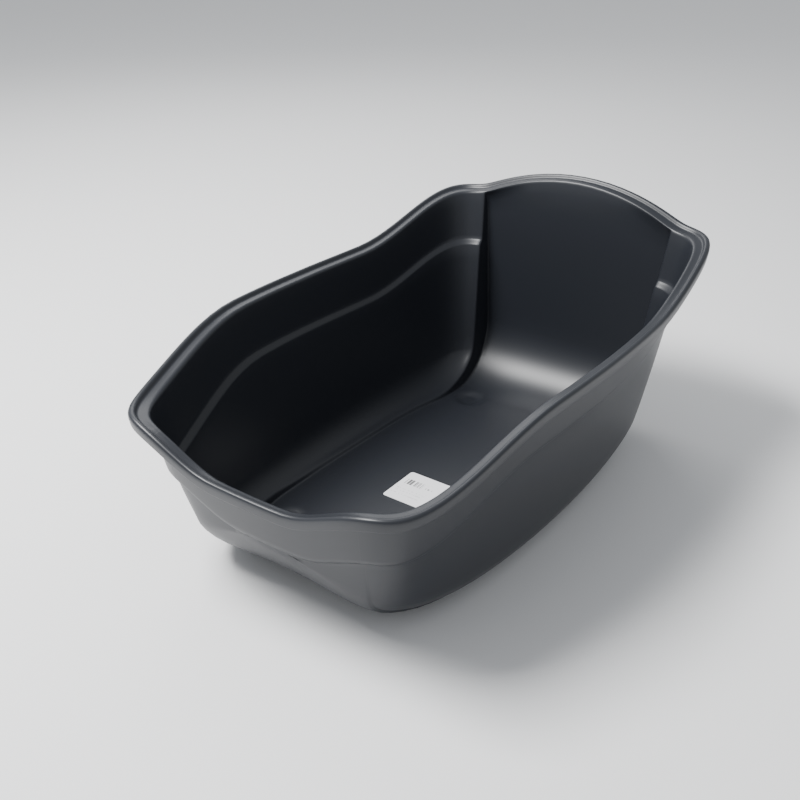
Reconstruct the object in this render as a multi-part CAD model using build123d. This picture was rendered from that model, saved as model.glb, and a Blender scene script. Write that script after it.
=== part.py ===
from build123d import *
import os
from math import cos, pi, sin, sqrt

# A one-piece moulded mortar mixing tub. X is its width, Y its length with the high end
# at +Y, and Z is up from the ground that its four feet stand on. All sizes are millimetres.

# ---- wall and floor ----
wall = 3.0               # thickness of the moulding
foot_depth = 3.5         # how far the feet stand below the channel floor
channel_step = 4.0       # how far the channel floor lies below the strips beside it

# ---- inside of the tub, taken at ground height and widened by the drafts ----
half_width = 174.5
front_length = 302.1
back_length = 276.5
side_draft = 0.133       # millimetres outward for each millimetre up
front_draft = 0.19
back_draft = 0.172
side_bow_front = 29.0    # how much narrower each half-width is at the front end
side_bow_back = 26.0
front_bow = 12.0         # how much shorter the ends are at their corners
back_bow = 8.0
front_sharpness = 11.0   # exponents of the rounded outline at the rim: higher is a tighter corner
back_sharpness = 12.0
front_floor_sharpness = 5.0
back_floor_sharpness = 9.0
full_sharpness_height = 110.0

# ---- bends between the floor and the walls, measured on the inside ----
side_bend = 34.0
front_bend = 96.0
back_bend = 80.0

# ---- wavy top edge: heights of the crest, and where along the side they lie ----
front_corner_height = 203.5
hump_height = 247.4
dip_height = 244.0
back_corner_height = 290.0
corner_place = 345.0
hump_place = -120.0
dip_place = 115.0
front_notch = 36.0       # how far the front edge drops between its corners
front_notch_flat = 45.0
front_notch_end = 165.0
back_dome = 36.5         # how far the back edge rises between its corners
back_dome_half = 145.0
back_dome_softness = 0.18

# ---- ledge that runs round the walls below the top edge ----
ledge_step = 5.0
ledge_rise = 7.0
ledge_front_height = 126.0
ledge_hump_height = 177.5
ledge_dip_height = 173.5
ledge_back_height = 214.0
ledge_notch = 30.0

# ---- rolled rim, seen in section from the inside of the wall outwards ----
rim_drop = 8.0           # from the crest down to the top of the plain wall
shelf_drop = 5.2         # from the crest down to the shelf inside it
shelf_width = 10.0
riser_top = 1.8          # from the crest down to the top of the riser beside the shelf
crest_offset = 12.5
lip_width = 5.0          # from the crest out to the skirt
skirt_depth = 14.0
skirt_flare = 1.0
skirt_foot_gap = 2.0     # from the skirt's bottom up to the rim's underside at the wall
underside_corner = 1.2
underside_rise = 1.5
lip_corner = 1.3         # the lip's outer rounding, across and down
lip_corner_drop = 2.0
crest_round = 0.4
riser_corner = 1.5       # the riser's upper rounding, across and down
riser_corner_drop = 0.7
riser_foot = 2.5
shelf_corner = 3.5       # the shelf's inner edge, in two steps down to the wall
shelf_edge = 1.2
shelf_edge_drop = 0.8
groove_end = 146.0       # the shelf stops this far each side of the front centre
groove_fade = 10.0

# ---- channel over the floor and up the back wall ----
# Its edge, from front to back: shares of front_length or back_length, and distances in from half_width.
channel_edge_places = (-1.2, -0.98, -0.76, -0.54, -0.37, -0.2, 0.12, 0.365, 0.52, 0.665, 0.76, 1.4)
channel_edge_insets = (66.0, 61.5, 46.0, 34.2, 32.6, 32.1, 34.5, 37.5, 42.6, 50.6, 53.3, 53.5)
channel_draft = 0.083
channel_back = 315.9     # inside of the channel's back wall at ground height
channel_back_draft = 0.058
channel_back_bend = 95.0
channel_front_top = 98.0  # the channel fades out at this height on the front wall
channel_overlap = 0.5    # how deep its faded front lies in the wall
channel_margin = 120.0   # how far the cutting shapes reach past the walls

# ---- feet ----
foot_radius = 20.0
foot_flare = 0.35        # millimetres wider for each millimetre up
pocket_top = 28.0        # a level above the pockets' open tops
front_foot_x = 100.0
front_foot_y = -178.0
back_foot_x = 90.0
back_foot_y = 213.0

# ---- label ----
label_width = 92.0
label_height = 66.0
label_thickness = 0.3
label_corner = 4.0
label_x = 6.0
label_y = -38.0

# ---- how finely the flowing surfaces are worked out ----
outline_points = 72
bend_steps = 6
bend_rest = 0.12         # radians of the bend left for the straight wall above it
corner_crowding = 0.17

outline_places = [step / outline_points for step in range(outline_points + 1)]
channel_floor = foot_depth + wall
side_floor = channel_floor + channel_step
top_clear = 360.0        # a level above the whole tub


def ease(low, high, place, start, end):
    """A smooth rise from low to high as place goes from start to end."""
    part = min(1.0, max(0.0, (place - start) / (end - start)))
    return low + (high - low) * (1 - cos(pi * part)) / 2


def wave(place, front, hump, dip, back):
    """Height of a wavy edge at a place along the tub's length."""
    if place < hump_place:
        return ease(front, hump, place, -corner_place, hump_place)
    if place < dip_place:
        return ease(hump, dip, place, hump_place, dip_place)
    return ease(dip, back, place, dip_place, corner_place)


def direction(step):
    """Angle of one outline point; the points crowd together at the corners."""
    angle = 2 * pi * step / outline_points
    return angle + corner_crowding * sin(4 * angle)


def unit_point(angle, sharpness):
    """A point on a rounded square two units wide."""
    reach = (abs(cos(angle)) ** sharpness + abs(sin(angle)) ** sharpness) ** (-1 / sharpness)
    return reach * cos(angle), reach * sin(angle)


def wall_point(angle, height, side_out, end_out):
    """A point of the inner wall at a height, moved outwards at the sides and at the ends."""
    at_front = sin(angle) < 0
    low, high = front_floor_sharpness, front_sharpness
    if not at_front:
        low, high = back_floor_sharpness, back_sharpness
    sharpness = low + (high - low) * min(1.0, height / full_sharpness_height)
    u, v = unit_point(angle, sharpness)
    end = front_length + front_draft * height if at_front else back_length + back_draft * height
    end_bow = front_bow if at_front else back_bow
    side_bow = side_bow_front if at_front else side_bow_back
    half = half_width + side_draft * height + side_out
    return u * (half - side_bow * v * v), v * (end + end_out - end_bow * u * u)


def crest_point(angle):
    """Where the rim's crest lies in plan, in a direction from the centre."""
    out = ledge_step + crest_offset
    return wall_point(angle, front_corner_height, out, out)


def crest_height(angle):
    """Height of the rim's crest in a direction from the centre."""
    x, y = crest_point(angle)
    height = wave(y, front_corner_height, hump_height, dip_height, back_corner_height)
    if y < 0:
        return height - ease(front_notch, 0, abs(x), front_notch_flat, front_notch_end)
    rise = 1 - (x / back_dome_half) ** 2
    return height + back_dome * (rise + sqrt(rise ** 2 + back_dome_softness ** 2)) / 2


def ledge_height(angle):
    """Height of the middle of the ledge in a direction from the centre."""
    x, y = crest_point(angle)
    height = wave(y, ledge_front_height, ledge_hump_height, ledge_dip_height, ledge_back_height)
    if y < 0:
        height -= ease(ledge_notch, 0, abs(x), front_notch_flat, front_notch_end)
    return height


def shelf_share(angle):
    """1 where the rim has its shelf and 0 along the front, where it is one smooth slope."""
    x, y = crest_point(angle)
    if y > 0:
        return 1.0
    return ease(0, 1, abs(x), groove_end - groove_fade, groove_end)


def end_bend(angle):
    """The bend between the floor and the wall at this end of the tub."""
    return front_bend if sin(angle) < 0 else back_bend


def bend_radius(angle):
    """Height of the bend between the floor and the wall in a direction from the centre."""
    return side_bend + (end_bend(angle) - side_bend) * sin(angle) ** 4


def ring(height_of, side_out, end_out):
    """A closed outline round the tub; height_of and end_out are worked out for each direction."""
    points = []
    for step in range(outline_points):
        angle = direction(step)
        height = height_of(angle)
        x, y = wall_point(angle, height, side_out, end_out(angle))
        points.append((x, y, height))
    return Wire([Edge.make_spline(points, periodic=True, parameters=outline_places)])


def level_ring(height_of, offset):
    """A closed outline that stands the same distance out from the wall all round."""
    return ring(height_of, offset, lambda angle: offset)


def bend_turns():
    """The turns of the floor's bend that get an outline, from flat to almost upright."""
    return [(pi / 2 - bend_rest) * step / bend_steps for step in range(bend_steps + 1)]


def bend_rings(floor_height, offset):
    """Outlines from the flat floor up round the bend to the wall."""
    rings = []
    for turn in bend_turns():
        inset = 1 - sin(turn)

        def height_of(angle, turn=turn):
            return floor_height + (bend_radius(angle) + offset) * (1 - cos(turn))

        def end_out(angle, inset=inset):
            return offset - inset * (end_bend(angle) + offset)

        rings.append(ring(height_of, offset - inset * (side_bend + offset), end_out))
    return rings


def ledge_rings(offset):
    """The two edges of the ledge's slope."""
    low = level_ring(lambda a: ledge_height(a) - ledge_rise / 2, offset)
    high = level_ring(lambda a: ledge_height(a) + ledge_rise / 2, offset + ledge_step)
    return [low, high]


def rim_rings():
    """The rim's section, from under the skirt, over the crest and down to the inner wall."""
    shelf_rise = shelf_drop - riser_top
    section = [
        (wall, skirt_depth - skirt_foot_gap, 0),
        (wall + underside_corner, shelf_drop + wall, 0),
        (crest_offset + skirt_flare / 2, shelf_drop + underside_rise, 0),
        (crest_offset + lip_width - wall, skirt_depth, 0),
        (crest_offset + lip_width + skirt_flare, skirt_depth, 0),
        (crest_offset + lip_width, shelf_drop, 0),
        (crest_offset + lip_width - lip_corner, lip_corner_drop, 0),
        (crest_offset + lip_width / 2, crest_round, 0),
        (crest_offset, 0, 0),
        (crest_offset - riser_corner, riser_corner_drop, 0),
        (crest_offset - riser_foot, riser_top, 0),
        (shelf_width, riser_top, shelf_rise),
        (shelf_corner, 2 * riser_top, shelf_rise - riser_top),
        (shelf_edge, shelf_drop + shelf_edge_drop, 0),
        (0, rim_drop, 0),
    ]
    rings = []
    for out, drop, shelf_extra in section:

        def height_of(angle, drop=drop, shelf_extra=shelf_extra):
            return crest_height(angle) - drop - shelf_extra * shelf_share(angle)

        rings.append(level_ring(height_of, ledge_step + out))
    return rings


def plain_tub():
    """The tub before its channel and feet: up the outside, over the rim, down the inside."""
    outside = bend_rings(side_floor - wall, wall) + ledge_rings(wall)
    inside = ledge_rings(0)[::-1] + bend_rings(side_floor, 0)[::-1]
    return Solid.make_loft(outside + rim_rings() + inside, ruled=True)


def middle_of_wall():
    """Everything inside the middle of the wall's thickness."""
    half = wall / 2
    rings = bend_rings(side_floor - half, half) + ledge_rings(half)
    rings.append(level_ring(lambda a: top_clear, half + ledge_step))
    return Solid.make_loft(rings, ruled=True)


def channel_outline(height, grow):
    """The channel's plan at a height: both long edges follow the bow of the walls."""
    edge = []
    for place, inset in zip(channel_edge_places, channel_edge_insets):
        length = front_length if place < 0 else back_length
        edge.append((half_width - inset + channel_draft * height + grow, place * length))
    right = Spline(*[(x, y, height) for x, y in edge])
    left = Spline(*[(-x, y, height) for x, y in edge])
    return Wire([right, Line(right @ 1, left @ 1), left, Line(left @ 0, right @ 0)])


def channel_plan(grow):
    """The channel's plan, widened upwards by its draft."""
    return Solid.make_loft([channel_outline(0, grow), channel_outline(top_clear, grow)], ruled=True)


def channel_side(grow):
    """The channel seen from the side, open at its front, as a slab across the tub."""
    floor = channel_floor - grow
    back_foot = channel_back + channel_back_draft * floor + grow
    back_top = channel_back + channel_back_draft * top_clear + grow
    front = -front_length - channel_margin
    points = [(back_top, top_clear), (back_foot, floor), (front, floor)]
    line = FilletPolyline(*points, radius=channel_back_bend + grow)
    rest = Polyline((front, floor), (front, top_clear), (back_top, top_clear))
    face = Plane.YZ * make_face(line.edges() + rest.edges())
    return extrude(face, amount=half_width + channel_margin, both=True)


def fading_step(height):
    """How far the channel's front lies outside the front wall: less and less with height."""
    return channel_step * max(0, 1 - height / channel_front_top)


def channel_limit(grow, rim_gap):
    """The room the channel may take: up to its fading front and the underside of the rim."""
    extra = channel_step + grow
    rings = []
    for turn in bend_turns():

        def height_of(angle, turn=turn):
            return channel_floor - grow + (bend_radius(angle) + extra) * (1 - cos(turn))

        def end_out(angle, turn=turn):
            if sin(angle) >= 0:
                return channel_margin
            fade = fading_step(height_of(angle, turn))
            return grow + fade - (1 - sin(turn)) * (front_bend + extra)

        rings.append(ring(height_of, grow, end_out))

    def faded(angle):
        return grow - channel_overlap if sin(angle) < 0 else channel_margin

    def under_rim(angle):
        return crest_height(angle) - rim_gap

    rings.append(ring(lambda angle: channel_front_top, grow, faded))
    rings.append(ring(under_rim, grow + ledge_step, faded))
    rings.append(level_ring(under_rim, -channel_margin))
    rings.append(level_ring(lambda angle: top_clear, -channel_margin))
    return Solid.make_loft(rings, ruled=True)


def channel(grow, rim_gap):
    """The channel's space, grown outwards by grow."""
    return channel_side(grow) & channel_plan(grow) & channel_limit(grow, rim_gap)


def foot_cone(x, y, bottom, top, radius):
    """A cone that widens upwards."""
    height = top - bottom
    cone = Cone(radius, radius + foot_flare * height, height, align=(Align.CENTER, Align.CENTER, Align.MIN))
    return Pos(x, y, bottom) * cone


def foot_places():
    """The centres of the four feet."""
    return [
        (side * x, y)
        for side in (-1, 1)
        for x, y in ((front_foot_x, front_foot_y), (back_foot_x, back_foot_y))
    ]


def tub_shell():
    """The whole moulding."""
    outer = channel(wall, shelf_drop + wall / 2)
    shell = plain_tub() + (outer - middle_of_wall())
    shell = shell - channel(0, rim_drop)
    for x, y in foot_places():
        shell = shell + foot_cone(x, y, 0, channel_floor - wall / 2, foot_radius)
    for x, y in foot_places():
        shell = shell - foot_cone(x, y, wall, pocket_top, foot_radius - wall)
    return shell


def barcode_label():
    """The paper label on the channel floor."""
    sheet = RectangleRounded(label_width, label_height, label_corner)
    return Pos(label_x, label_y, channel_floor) * extrude(sheet, amount=label_thickness)


if __name__ == "__main__":
    os.makedirs("parts", exist_ok=True)
    export_step(tub_shell(), "parts/tub_shell.step")
    export_step(barcode_label(), "parts/barcode_label.step")
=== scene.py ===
# %% [markdown]
# # A moulded mortar tub
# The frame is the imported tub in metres. Everything that is added below stands in the same
# place as the CAD part, so nothing has to be fitted afterwards.

# %% Load the frame
from math import atan2, cos, pi, radians, sin, sqrt

import bpy
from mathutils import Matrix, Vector


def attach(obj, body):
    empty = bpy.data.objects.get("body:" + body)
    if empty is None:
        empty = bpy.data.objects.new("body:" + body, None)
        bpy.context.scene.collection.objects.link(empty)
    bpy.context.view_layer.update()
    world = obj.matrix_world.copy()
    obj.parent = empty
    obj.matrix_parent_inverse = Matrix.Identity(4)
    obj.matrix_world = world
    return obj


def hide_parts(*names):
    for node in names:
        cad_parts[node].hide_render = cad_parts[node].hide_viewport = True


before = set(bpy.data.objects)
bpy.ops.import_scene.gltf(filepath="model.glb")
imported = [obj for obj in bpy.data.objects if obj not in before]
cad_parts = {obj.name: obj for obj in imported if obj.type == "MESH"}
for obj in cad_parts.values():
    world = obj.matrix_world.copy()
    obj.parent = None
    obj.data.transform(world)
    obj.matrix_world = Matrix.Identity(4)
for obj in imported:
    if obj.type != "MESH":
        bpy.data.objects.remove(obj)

bpy.context.view_layer.update()
MM = 0.001               # the mould is written in millimetres, the scene is in metres

# %% [markdown]
# ## The mould
# A moulded tub has no straight lines to build from: its outline is a rounded rectangle with
# bowed sides, every wall leans outwards, and the top edge waves up and down. So the shape is
# written once as a mould, a function that gives a point of the inside surface in millimetres.
# The sizes are those of the CAD part.

# %% Sizes of the mould
half_width, front_length, back_length = 174.5, 302.1, 276.5
side_draft, front_draft, back_draft = 0.133, 0.19, 0.172
side_bow_front, side_bow_back = 29.0, 26.0
front_bow, back_bow = 12.0, 8.0
front_sharpness, front_floor_sharpness = 11.0, 5.0
back_sharpness, back_floor_sharpness = 12.0, 9.0
full_sharpness_height = 110.0
side_bend, front_bend, back_bend = 34.0, 96.0, 80.0
channel_floor, side_floor = 6.5, 10.5
corner_place, hump_place, dip_place = 345.0, -120.0, 115.0
crest_heights = (203.5, 247.4, 244.0, 290.0)
ledge_heights = (126.0, 177.5, 173.5, 214.0)
front_notch, front_notch_flat, front_notch_end = 36.0, 45.0, 165.0
back_dome, back_dome_half, back_dome_softness = 36.5, 145.0, 0.18
ledge_step, ledge_rise, ledge_notch = 5.0, 7.0, 30.0
crest_offset = 12.5
groove_end, groove_fade = 146.0, 8.0
wall = 3.0


def ease(low, high, place, start, end):
    """A smooth rise from low to high as place goes from start to end."""
    part = min(1.0, max(0.0, (place - start) / (end - start)))
    return low + (high - low) * (1 - cos(pi * part)) / 2


def wave(place, heights):
    """Height of a wavy edge at a place along the tub."""
    front, hump, dip, back = heights
    if place < hump_place:
        return ease(front, hump, place, -corner_place, hump_place)
    if place < dip_place:
        return ease(hump, dip, place, hump_place, dip_place)
    return ease(dip, back, place, dip_place, corner_place)


def corner_sharpness(at_front, height):
    """How tight the outline's corners are: tighter towards the rim."""
    low, high = back_floor_sharpness, back_sharpness
    if at_front:
        low, high = front_floor_sharpness, front_sharpness
    return low + (high - low) * min(1.0, height / full_sharpness_height)


def wall_point(angle, height, side_out, end_out):
    """A point of the inner wall, in plan, moved outwards at the sides and at the ends."""
    at_front = sin(angle) < 0
    sharpness = corner_sharpness(at_front, height)
    reach = (abs(cos(angle)) ** sharpness + abs(sin(angle)) ** sharpness) ** (-1 / sharpness)
    u, v = reach * cos(angle), reach * sin(angle)
    end = front_length + front_draft * height if at_front else back_length + back_draft * height
    end_bow = front_bow if at_front else back_bow
    side_bow = side_bow_front if at_front else side_bow_back
    half = half_width + side_draft * height + side_out
    return u * (half - side_bow * v * v), v * (end + end_out - end_bow * u * u)


def crest_point(angle):
    """Where the rim's crest lies in plan."""
    out = ledge_step + crest_offset
    return wall_point(angle, crest_heights[0], out, out)


def crest_height(angle):
    """Height of the rim's crest: the wave, with a notch in front and a dome at the back."""
    x, y = crest_point(angle)
    height = wave(y, crest_heights)
    if y < 0:
        return height - ease(front_notch, 0, abs(x), front_notch_flat, front_notch_end)
    rise = 1 - (x / back_dome_half) ** 2
    return height + back_dome * (rise + sqrt(rise ** 2 + back_dome_softness ** 2)) / 2


def ledge_height(angle):
    """Height of the middle of the ledge."""
    x, y = crest_point(angle)
    height = wave(y, ledge_heights)
    return height - (ease(ledge_notch, 0, abs(x), front_notch_flat, front_notch_end) if y < 0 else 0)


def shelf_share(angle):
    """1 where the rim has a shelf, and 0 along the front, where it is one smooth slope."""
    x, y = crest_point(angle)
    return 1.0 if y > 0 else ease(0, 1, abs(x), groove_end - groove_fade, groove_end)


# %% [markdown]
# ## Rows of the walls
# The moulding is one sheet of plastic. The walls are described row by row, from the top of
# the bend round the floor, up the wall, over the ledge, the shelf and the crest, and down to
# the bottom of the skirt. Each row gives a point for any direction, on the visible side of
# the sheet or on its hidden side.

# %% Rows
last_turn = radians(83)                  # the bend stops just short of upright
half_rise = ledge_rise / 2
under_ledge, over_ledge = 0.8, 5.0       # gaps between the ledge's rows and the plain wall's
under_crest = 26.0                       # the plain wall ends this far below the crest
wall_shares = (0.12, 0.3, 0.5, 0.7, 0.88, 1)
# Each pair: how far above the ledge's middle and how far out, over the ledge's soft slope.
ledge_section = (
    (-3.6, 0.15), (-2.4, 0.7), (-1.2, 1.55), (0, 2.5), (1.2, 3.45), (2.4, 4.3), (3.6, 4.85),
)
# Each line: how far out and how far down, on the visible side and on the hidden side.
rim_section = [
    (0.0, 24.0, 3.0, 25.0), (0.0, 9.8, 3.0, 13.0), (0.3, 7.4, 3.1, 10.4), (1.0, 6.2, 3.3, 9.6),
    (2.2, 5.4, 4.0, 9.0), (4.2, 5.2, 5.2, 8.5), (9.0, 5.2, 9.0, 8.3), (10.2, 4.7, 12.0, 8.2),
    (10.8, 3.2, 13.0, 7.0), (11.2, 1.5, 13.3, 5.2), (12.2, 0.4, 13.6, 4.0), (13.6, 0.0, 13.9, 3.4),
    (15.2, 0.4, 14.2, 3.4), (16.5, 1.6, 14.4, 3.8), (17.3, 3.4, 14.6, 4.8), (17.7, 6.0, 14.8, 6.6),
    (17.8, 10.0, 14.8, 10.0), (17.9, 13.2, 14.9, 13.2), (17.9, 14.0, 14.9, 14.0),
]
smooth_front = {5.2: 4.4, 4.7: 2.3}      # the shelf's drops, and what they are along the front


def end_bend(angle):
    """Size of the bend at the end that a direction points to."""
    return front_bend if sin(angle) < 0 else back_bend


def bend_radius(angle):
    """Height of the bend between the floor and the wall."""
    return side_bend + (end_bend(angle) - side_bend) * sin(angle) ** 4


def bend_point(turn, angle, out):
    """A point in the bend between the floor and the wall, or on the floor where turn is below 0."""
    inset = 1 - sin(turn)
    height = side_floor - out + (bend_radius(angle) + out) * (1 - cos(max(0.0, turn)))
    side_out = out - inset * (side_bend + out)
    end_out = out - inset * (end_bend(angle) + out)
    x, y = wall_point(angle, height, side_out, end_out)
    return Vector((x, y, height))


def wall_row(height_of, step):
    """A row of the wall at the height that height_of gives, moved out by a step."""
    def point(angle, out):
        height = height_of(angle)
        x, y = wall_point(angle, height, step + out, step + out)
        return Vector((x, y, height))

    return point


def between(share):
    """Height at a share of the way from the bend to the ledge."""
    def height_of(angle):
        low = side_floor + bend_radius(angle) * (1 - cos(last_turn))
        return low + (ledge_height(angle) - half_rise - under_ledge - low) * share

    return height_of


def above(share):
    """Height at a share of the way from the ledge to the rim."""
    def height_of(angle):
        low = ledge_height(angle) + half_rise + over_ledge
        return low + (crest_height(angle) - under_crest - low) * share

    return height_of


def rim_row(line):
    """A row of the rim, from one line of the rim's section."""
    out_seen, drop_seen, out_hidden, drop_hidden = line

    def point(angle, out):
        share = shelf_share(angle)
        flat = smooth_front.get(drop_seen, drop_seen)
        drop = drop_hidden if out else flat + (drop_seen - flat) * share
        height = crest_height(angle) - drop
        step = ledge_step + (out_hidden if out else out_seen)
        x, y = wall_point(angle, height, step, step)
        return Vector((x, y, height))

    return point


rows = [lambda angle, out: bend_point(last_turn, angle, out)]
rows += [wall_row(between(share), 0) for share in wall_shares]
for rise, step in ledge_section:
    rows.append(wall_row(lambda a, rise=rise: ledge_height(a) + rise, step))
rows += [wall_row(above(share), ledge_step) for share in (0, 0.33, 0.66)]
rows += [rim_row(line) for line in rim_section]
merged = len(rows) - len(rim_section) + 2    # from this row up, the back panel is part of the rim
print("rows from the bend to the skirt:", len(rows))

# %% [markdown]
# ## The channel
# A channel with flat sides runs the length of the floor and up the back. Its edge is a curve
# that keeps its distance from the bowed walls, so columns of the sheet can follow it.

# %% Channel
channel_back, channel_back_draft, channel_back_bend = 315.9, 0.058, 95.0
channel_top_front, channel_step = 98.0, side_floor - channel_floor
channel_draft = 0.083
row_halvings, turn_halvings, edge_halvings = 34, 26, 24      # steps of the searches below
height_repeats, bow_repeats, edge_repeats = 6, 8, 5          # rounds in which a guess is improved
lowest_turn = radians(-50)
foot_places = ((100.0, -178.0), (90.0, 213.0))
foot_depth, foot_bottom, foot_top = 3.5, 13.0, 21.0
channel_edge_places = (-1.2, -0.98, -0.76, -0.54, -0.37, -0.2, 0.12, 0.365, 0.52, 0.665, 0.76, 1.4)
channel_edge_insets = (66.0, 61.5, 46.0, 34.2, 32.6, 32.1, 34.5, 37.5, 42.6, 50.6, 53.3, 53.5)
channel_edge = [
    (place * (front_length if place < 0 else back_length), half_width - inset)
    for place, inset in zip(channel_edge_places, channel_edge_insets)
]
back_centre = channel_back + channel_back_draft * (channel_floor + channel_back_bend)
back_centre -= channel_back_bend * (1 + channel_back_draft ** 2) ** 0.5


def channel_half(y, height):
    """Half the channel's width: a smooth curve through the edge's places."""
    places = channel_edge
    n = max(1, min(len(places) - 3, sum(1 for place in places if place[0] < y) - 1))
    (y0, x0), (y1, x1), (y2, x2), (y3, x3) = places[n - 1:n + 3]
    t = min(1.0, max(0.0, (y - y1) / (y2 - y1)))
    slope_1, slope_2 = (x2 - x0) / (y2 - y0) * (y2 - y1), (x3 - x1) / (y3 - y1) * (y2 - y1)
    hermite = x1 * (1 + 2 * t) * (1 - t) ** 2 + slope_1 * t * (1 - t) ** 2
    hermite += x2 * t * t * (3 - 2 * t) + slope_2 * t * t * (t - 1)
    return hermite + channel_draft * height


def fade(height):
    """Depth of the channel on the front wall, where it runs out."""
    return channel_step * max(0.0, 1 - height / channel_top_front)


def front_turn_point(turn, x_of, out):
    """A point of the channel's front bend, at the width that x_of gives for it."""
    extra = channel_step + out

    def row(angle, out):
        height = channel_floor - out + (bend_radius(angle) + extra) * (1 - cos(turn))
        end_out = out + fade(height) - (1 - sin(turn)) * (front_bend + extra)
        return Vector((*wall_point(angle, height, out, end_out), height))

    return on_row(row, x_of, True, out)


def back_turn_point(turn, x_of, out):
    """A point of the channel's back bend, at the width that x_of gives for it."""
    radius = channel_back_bend + out
    height = channel_floor + channel_back_bend - radius * cos(turn)
    y = back_centre + radius * sin(turn)
    return Vector((x_of(Vector((0, y, height)), out), y, height))


def on_row(row, x_of, front, out):
    """The point of a row at the width that x_of gives, at the front or at the back."""
    low, high = (-pi / 2, 0) if front else (pi / 2, 0)
    for _ in range(row_halvings):
        middle = (low + high) / 2
        p = row(middle, out)
        if p.x < x_of(p, out):
            low = middle
        else:
            high = middle
    return row((low + high) / 2, out)


def turn_and_angle(x, y, out):
    """The turn and direction at which bend_point lies above a point of the plan."""
    at_front = y < 0
    side_bow, end_bow = (side_bow_front, front_bow) if at_front else (side_bow_back, back_bow)
    end = front_bend if at_front else back_bend

    def test(turn):
        inset = 1 - sin(turn)
        height = side_floor
        for _ in range(height_repeats):
            length = back_length + back_draft * height
            if at_front:
                length = front_length + front_draft * height
            length += out - inset * (end + out)
            half = half_width + side_draft * height + out - inset * (side_bend + out)
            u, v = x / half, y / length
            for _ in range(bow_repeats):
                u, v = x / (half - side_bow * v * v), y / (length - end_bow * u * u)
            angle = atan2(v, u)
            height = side_floor - out + (bend_radius(angle) + out) * (1 - cos(max(0.0, turn)))
        n = corner_sharpness(at_front, height)
        return abs(u) ** n + abs(v) ** n > 1, angle

    low, high = lowest_turn, last_turn
    for _ in range(turn_halvings):
        middle = (low + high) / 2
        if test(middle)[0]:
            low = middle
        else:
            high = middle
    return low, test(low)[1]


# %% [markdown]
# ## Columns and lines
# Columns run from the front rim over the floor to the back rim, and lines cross the floor
# from side to side. The first columns share the channel's width, closer together over the
# feet. The next six stand at the step up to the side floor, and the rest fill the sides.

# %% Columns and lines
channel_shares = (
    0, 0.14, 0.28, 0.42, 0.53, 0.58, 0.62, 0.66, 0.70, 0.74, 0.78, 0.82, 0.86, 0.90, 0.95, 1,
)
channel_margin = 6.5                     # the shared columns stop this far short of the edge
step_offsets = (-2.5, -0.75, -0.1, 0.1, 0.75, 2.5)
inner_edge = len(channel_shares) + 2     # last column that belongs to the channel
outer_edge = inner_edge + 3              # first column that belongs to the side
side_columns = 10
last_column = outer_edge + side_columns
front_lines, back_lines = 10, 14         # lines over the channel's two bends
back_spacing = 1.25                      # above 1, the back bend's lines are closer at its foot
panel_rows = 6                           # rows of the back panel below the ledge
half_merged = 0.45
step_radius, step_radius_share, arc_share = 2.0, 0.45, 0.29
corner_crowding = 0.12
floor_places = [share / 10 * 0.12 for share in range(11)]
floor_places += [0.12 + share / 20 * 0.78 for share in range(1, 21)]
floor_places += [0.90 + share / 9 * 0.10 for share in range(1, 10)]
floor_lines = len(floor_places) - 1
last_line = front_lines + floor_lines + back_lines
skirt = len(rows) - 1
print("columns each side:", last_column, "lines:", last_line)


def x_rule(column):
    """How far from the centre a column of the channel lies, for a point on it."""
    def x_of(p, out):
        edge = channel_half(p.y, p.z) + out
        if column >= len(channel_shares):
            return edge + step_offsets[column - len(channel_shares)]
        return (edge - channel_margin) * channel_shares[column]

    return x_of


def foot_share(x, y, out):
    """1 over a foot and 0 beside it, with a rounded edge."""
    near = min(sqrt((x - foot_x) ** 2 + (y - foot_y) ** 2) for foot_x, foot_y in foot_places)
    return 1 - ease(0, 1, near, foot_bottom + out, foot_top + out)


def place_on_channel(column, place, out):
    """A point of the channel; place runs from the front skirt (below 0) to the back skirt."""
    x_of = x_rule(column)
    if place < 0:
        if column == 0:
            p = rows[-place](-pi / 2, out)
        else:
            p = on_row(rows[-place], x_of, True, out)
        p.y -= fade(p.z)
        return p
    if place <= front_lines:
        turn = last_turn * (1 - place / front_lines)
        return front_turn_point(turn, x_of, out)
    if place <= front_lines + floor_lines:
        start = front_turn_point(0.0, x_of, out).y
        y = start + (back_centre - start) * floor_places[place - front_lines]
        p = Vector((0, y, channel_floor - out))
    elif place <= last_line:
        turn = last_turn * ((place - front_lines - floor_lines) / back_lines) ** back_spacing
        p = back_turn_point(turn, x_of, out)
    if place <= last_line:
        p.x = x_of(p, out)
        p.z -= foot_depth * foot_share(p.x, p.y, out)
        return p
    row = place - last_line
    p = on_row(rows[row], x_of, False, out) if column else rows[row](pi / 2, out)
    share = 1.0 if row < merged - 1 else (half_merged if row == merged - 1 else 0.0)
    if share:
        bend_top = channel_floor + channel_back_bend * (1 - cos(last_turn))
        height = p.z
        if row < panel_rows:
            top_row = rows[panel_rows]
            upper = on_row(top_row, x_of, False, out).z if column else top_row(pi / 2, out).z
            height = bend_top + (upper - bend_top) * row / panel_rows
        panel = channel_back + channel_back_draft * height + out
        panel = max(panel, p.y)
        p = Vector((p.x, p.y + (panel - p.y) * share, height))
        p.x = x_of(p, out)
    return p


def turn_at(y, x_of, front, out):
    """The turn of the bend's row that meets the channel's edge at y."""
    low, high = 0.0, last_turn
    for _ in range(edge_halvings):
        middle = (low + high) / 2
        p = on_row(lambda a, o: bend_point(middle, a, o), x_of, front, out)
        if abs(p.y) < abs(y):
            low = middle
        else:
            high = middle
    return (low + high) / 2


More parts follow.
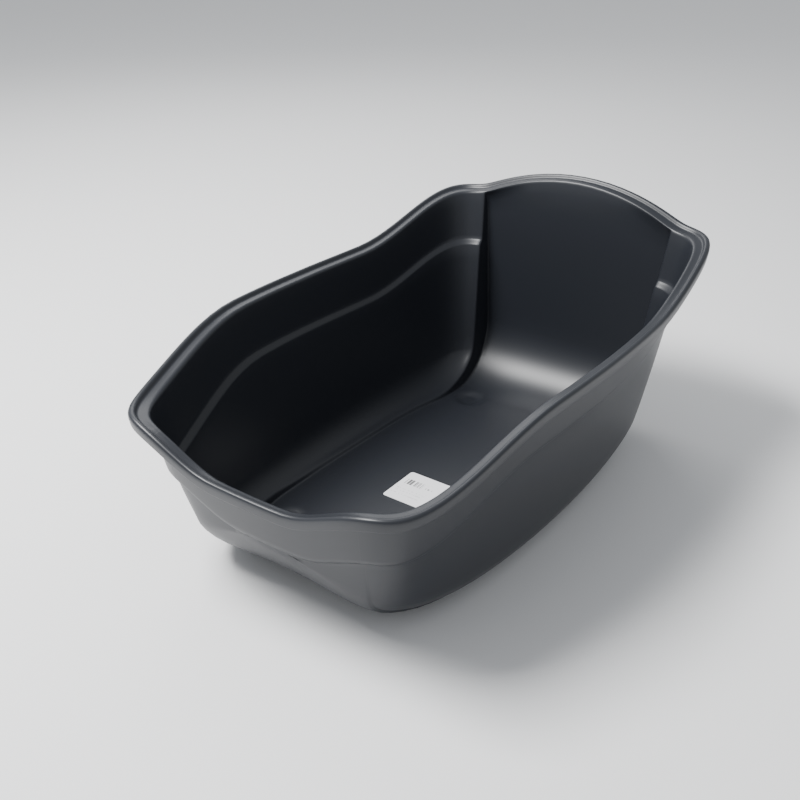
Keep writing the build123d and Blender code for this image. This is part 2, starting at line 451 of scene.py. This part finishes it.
def place_on_side(column, place, out, ends):
    """A point of the side's edge, beside the channel."""
    x_of = x_rule(column)
    if place <= 0:
        return on_row(rows[-place], x_of, True, out)
    if place >= last_line:
        return on_row(rows[place - last_line], x_of, False, out)
    floor_end = front_lines + floor_lines
    if place < front_lines:
        turn = last_turn + (ends[0] - last_turn) * place / front_lines
        return on_row(lambda a, o: bend_point(turn, a, o), x_of, True, out)
    if place > floor_end:
        turn = ends[1] + (last_turn - ends[1]) * ((place - floor_end) / back_lines) ** back_spacing
        return on_row(lambda a, o: bend_point(turn, a, o), x_of, False, out)
    y = place_on_channel(inner_edge, place, out).y
    p = Vector((0, y, side_floor - out))
    for _ in range(edge_repeats):
        p.x = x_of(p, out)
        turn, angle = turn_and_angle(p.x, p.y, out)
        p.z = bend_point(turn, angle, out).z
    return p


def upward(curve, n):
    """The direction square to a curve seen from the side, pointing into the tub."""
    before, after = curve[max(0, n - 1)], curve[min(len(curve) - 1, n + 1)]
    along = Vector((0, after.y - before.y, after.z - before.z)).normalized()
    return Vector((0, -along.z, along.y))


def channel_strip(out):
    """Points of the channel's columns and its step, from the front skirt to the back skirt."""
    start = place_on_channel(inner_edge, front_lines, out).y
    finish = place_on_channel(inner_edge, front_lines + floor_lines, out).y
    step = range(inner_edge + 1, outer_edge + 1)
    ends = (turn_at(start, x_rule(step[0]), True, out), turn_at(finish, x_rule(step[0]), False, out))
    places = range(-skirt, last_line + skirt + 1)
    points = {}
    for column in range(inner_edge + 1):
        points[column] = [place_on_channel(column, place, out) for place in places]
    for column in step:
        points[column] = [place_on_side(column, place, out, ends) for place in places]
    low, high = [p.copy() for p in points[inner_edge]], [p.copy() for p in points[step[0]]]
    for n in range(len(low)):
        depth = abs((high[n] - low[n]).dot(upward(low, n)))
        radius = min(step_radius, step_radius_share * depth)
        points[inner_edge - 1][n] += upward(low, n) * arc_share * radius
        points[inner_edge][n] += upward(low, n) * radius
        points[step[0]][n] -= upward(high, n) * radius
        points[step[1]][n] -= upward(high, n) * arc_share * radius
    return {(c, place): points[c][n] for c in points for n, place in enumerate(places)}


def side_sheet(strip, out):
    """Points between the channel's edge and the side walls, and those of the side walls."""
    points = {}
    edge = [strip[inner_edge, line].y for line in range(last_line + 1)]
    directions = [line_angle((y - edge[0]) / (edge[-1] - edge[0])) for y in edge]
    corner = pi / 4
    for row in range(skirt + 1):
        for front in (True, False):
            place = -row if front else last_line + row
            sign = -1 if front else 1
            p = strip[outer_edge, place]
            low, high = sign * pi / 2, sign * corner
            for _ in range(row_halvings):
                middle = (low + high) / 2
                if rows[row](middle, out).x < p.x:
                    low = middle
                else:
                    high = middle
            for k in range(1, side_columns + 1):
                share = k / side_columns
                angle = low + (sign * corner - low) * share
                points[outer_edge + k, place] = rows[row](angle, out)
        for line in range(1, last_line):
            points[last_column, line, row] = rows[row](directions[line], out)
    for line in range(1, last_line):
        start = strip[outer_edge, line]
        turn, angle = turn_and_angle(start.x, start.y, out)
        for k in range(1, side_columns):
            share = k / side_columns
            turn_here = turn + (last_turn - turn) * share
            angle_here = angle + (directions[line] - angle) * share
            points[outer_edge + k, line] = bend_point(turn_here, angle_here, out)
        points[last_column, line] = rows[0](directions[line], out)
    return points


def line_angle(share):
    """Direction in which a line meets the side wall; the lines crowd together at the corners."""
    q = 2 * share - 1
    return atan2(q + corner_crowding * sin(pi * q), 1.0)


# %% [markdown]
# ## One side of the sheet, then both
# `points_of` collects every point of the right half. The left half is its mirror image.

# %% Points
def points_of(out):
    """A function that finds any vertex of the visible side (out 0) or the hidden side."""
    strip = channel_strip(out)
    side = side_sheet(strip, out)

    def point(column, line, row):
        c = abs(column)
        if row and line == 0:
            key = (c, -row)
        elif row and line == last_line:
            key = (c, last_line + row)
        elif c == last_column and 0 < line < last_line:
            key = (c, line, row)
        else:
            key = (c, line)
        p = strip[key] if key in strip else side[key]
        return Vector((p.x if column > 0 else -p.x if column < 0 else 0.0, p.y, p.z)) * MM

    return point


seen, hidden = points_of(0.0), points_of(wall)
print("floor centre:", seen(0, 20, 0), "corner of the crest:", seen(last_column, 0, len(rows) - 8))

# %% [markdown]
# ## The sheet as a paper model
# A grid gives the floor, one square to a cell, and its border is extruded upwards once for
# each row. Every vertex then still carries its column, line and row as whole numbers.

# %% Paper model
def deselect():
    """Let go of everything, so that the next operator works on the new piece only."""
    for thing in bpy.context.selected_objects:
        thing.select_set(False)


deselect()
bpy.ops.mesh.primitive_grid_add(x_subdivisions=2 * last_column, y_subdivisions=last_line, size=2)
tub = bpy.context.object
tub.name = "tub"
tub.scale = (last_column, last_line / 2, 1)
tub.location = (0, last_line / 2, 0)
bpy.ops.object.transform_apply(location=True, rotation=True, scale=True)
bpy.ops.object.mode_set(mode="EDIT")
bpy.ops.mesh.select_all(action="SELECT")
bpy.ops.mesh.region_to_loop()
for row in range(1, len(rows)):
    bpy.ops.mesh.extrude_region_move(TRANSFORM_OT_translate={"value": (0, 0, 1)})
bpy.ops.mesh.select_all(action="SELECT")
bpy.ops.mesh.normals_make_consistent(inside=True)
bpy.ops.object.mode_set(mode="OBJECT")
codes = [tuple(round(value) for value in vertex.co) for vertex in tub.data.vertices]
print("vertices:", len(codes), "faces:", len(tub.data.polygons))

# %% [markdown]
# ## Thickness and shape
# Solidify doubles the sheet and closes it along the skirt. The first half of the vertices is
# the visible side, the second half the hidden side, and each goes to its place in the mould.

# %% Shape
solidify = tub.modifiers.new("thickness", "SOLIDIFY")
solidify.thickness = 0.2                 # any value does: every vertex is placed below
solidify.offset = -1
bpy.ops.object.modifier_apply(modifier="thickness")
half_count = len(codes)
for n, vertex in enumerate(tub.data.vertices):
    column, line, row = codes[n % half_count]
    vertex.co = (seen if n < half_count else hidden)(column, line, row)
bpy.ops.object.mode_set(mode="EDIT")
bpy.ops.mesh.select_all(action="SELECT")
bpy.ops.mesh.normals_make_consistent(inside=False)
bpy.ops.object.mode_set(mode="OBJECT")
bpy.ops.object.shade_smooth()
print("tub:", len(tub.data.vertices), "vertices, size", [round(value, 4) for value in tub.dimensions])
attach(tub, "root")
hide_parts("tub_shell")

# %% [markdown]
# ## The label
# A paper sheet with rounded corners lies on the channel floor: a plane, its corners bevelled,
# pulled up to its thickness.

# %% Label
label_size, label_centre = (0.0918, 0.0658), (0.006, -0.038)
label_thickness, label_corner = 0.0003, 0.0038
deselect()
bpy.ops.mesh.primitive_plane_add(size=1)
label = bpy.context.object
label.name = "barcode_label_print"
label.scale = (*label_size, 1)
label.location = (*label_centre, channel_floor * MM)
bpy.ops.object.transform_apply(location=True, rotation=True, scale=True)
bpy.ops.object.mode_set(mode="EDIT")
bpy.ops.mesh.select_all(action="SELECT")
bpy.ops.mesh.bevel(offset=label_corner, segments=5, affect="VERTICES")
bpy.ops.mesh.select_all(action="SELECT")
bpy.ops.mesh.extrude_region_move(TRANSFORM_OT_translate={"value": (0, 0, label_thickness)})
bpy.ops.mesh.select_all(action="SELECT")
bpy.ops.mesh.normals_make_consistent(inside=False)
bpy.ops.object.mode_set(mode="OBJECT")
print("label size:", [round(value, 4) for value in label.dimensions])
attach(label, "root")
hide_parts("barcode_label")

# %% [markdown]
# ## Finishes
# Black polypropylene is a dark satin plastic: its soft highlights come from its roughness.

# %% Plastic
plastic = bpy.data.materials.new("black plastic")
plastic.use_nodes = True
shader = plastic.node_tree.nodes["Principled BSDF"]
shader.inputs["Base Color"].default_value = (0.015, 0.017, 0.022, 1)
shader.inputs["Roughness"].default_value = 0.38
shader.inputs["Specular IOR Level"].default_value = 0.5
tub.data.materials.clear()
tub.data.materials.append(plastic)

# %% [markdown]
# White paper carries made-up print: a block of bars and three faint lines. The shader
# measures across and down from the sheet's upper left corner, and random numbers for each
# narrow stripe decide where there is ink.

# %% Paper
paper = bpy.data.materials.new("printed paper")
paper.use_nodes = True
nodes, links = paper.node_tree.nodes, paper.node_tree.links
place = nodes.new("ShaderNodeTexCoord")
split = nodes.new("ShaderNodeSeparateXYZ")
links.new(place.outputs["Object"], split.inputs[0])


def number(operation, *values):
    """A math node fed with numbers or with other nodes' results."""
    node = nodes.new("ShaderNodeMath")
    node.operation = operation
    for socket, value in zip(node.inputs, values):
        if isinstance(value, (int, float)):
            socket.default_value = value
        else:
            links.new(value, socket)
    return node.outputs[0]


left_edge, top_edge = 40, -5             # shifts, in millimetres, to the sheet's upper left corner
bare_share = 0.42                        # share of the stripes that stay bare
across = number("MULTIPLY_ADD", split.outputs["X"], 1000, left_edge)
down = number("MULTIPLY_ADD", split.outputs["Y"], -1000, top_edge)


def inside(value, low, high):
    """1 where a value is between two others."""
    return number("MULTIPLY", number("GREATER_THAN", value, low), number("LESS_THAN", value, high))


def printed(left, right, top, bottom, stripe, ink):
    """A block of upright stripes, each inked or bare at random."""
    noise = nodes.new("ShaderNodeTexWhiteNoise")
    noise.noise_dimensions = "1D"
    step = number("FLOOR", number("MULTIPLY_ADD", across, 1 / stripe, top))
    links.new(step, noise.inputs["W"])
    block = number("MULTIPLY", inside(across, left, right), inside(down, top, bottom))
    bars = number("GREATER_THAN", noise.outputs["Value"], bare_share)
    return number("MULTIPLY", number("MULTIPLY", block, bars), ink)


# Each block: left, right, top, bottom, width of a stripe, strength of the ink.
ink = printed(6, 33, 16, 28, 0.8, 0.85)
for left, right, top, bottom, stripe, strength in (
    (38, 48, 22.5, 25.5, 1.2, 0.7),
    (3, 47, 39, 41, 1.5, 0.2),
    (3, 44, 44, 46, 1.3, 0.2),
    (3, 45, 51, 53, 1.4, 0.2),
):
    ink = number("MAXIMUM", ink, printed(left, right, top, bottom, stripe, strength))
mix = nodes.new("ShaderNodeMix")
mix.data_type = "RGBA"
links.new(ink, mix.inputs["Factor"])
mix.inputs["A"].default_value = (0.82, 0.82, 0.84, 1)
mix.inputs["B"].default_value = (0.02, 0.02, 0.02, 1)
shader = nodes["Principled BSDF"]
links.new(mix.outputs["Result"], shader.inputs["Base Color"])
shader.inputs["Roughness"].default_value = 0.6
label.data.materials.append(paper)

# %% [markdown]
# ## Studio
# A pale floor, soft lights and the camera.

# %% Floor
deselect()
bpy.ops.mesh.primitive_plane_add(size=12, location=(0, 0, 0))
floor = bpy.context.object
floor.name = "studio floor"
white = bpy.data.materials.new("studio white")
white.use_nodes = True
shader = white.node_tree.nodes["Principled BSDF"]
shader.inputs["Base Color"].default_value = (0.9, 0.9, 0.9, 1)
shader.inputs["Roughness"].default_value = 0.8
floor.data.materials.append(white)

# %% Lights
world = bpy.data.worlds.new("studio")
bpy.context.scene.world = world
world.use_nodes = True
backdrop = world.node_tree.nodes["Background"]
backdrop.inputs["Color"].default_value = (0.93, 0.96, 1.0, 1)
backdrop.inputs["Strength"].default_value = 0.6


def soft_light(name, place, target, size, power):
    """A rectangular lamp that hangs in one place and shines towards another."""
    light = bpy.data.lights.new(name, "AREA")
    light.shape = "RECTANGLE"
    light.size, light.size_y = size
    light.energy = power
    lamp = bpy.data.objects.new(name, light)
    bpy.context.scene.collection.objects.link(lamp)
    lamp.location = place
    aim = Vector(target) - Vector(place)
    lamp.rotation_euler = aim.to_track_quat("-Z", "Y").to_euler()


soft_light("front left", (-0.9, -0.75, 2.0), (0, 0.25, 0.1), (1.2, 0.6), 104)
soft_light("back left", (-1.5, 1.3, 1.7), (0, 0, 0.2), (1.4, 1.2), 14)

# %% Camera
camera = bpy.data.objects.new("camera", bpy.data.cameras.new("camera"))
bpy.context.scene.collection.objects.link(camera)
camera.data.lens = 47.25
camera.data.sensor_width = 36
camera.data.clip_start = 0.02
camera.location = (0.6380, -0.9670, 0.7430)
forward = Vector((-0.5178, 0.7139, -0.4714))
camera.rotation_euler = forward.to_track_quat("-Z", "Y").to_euler()
bpy.context.scene.camera = camera
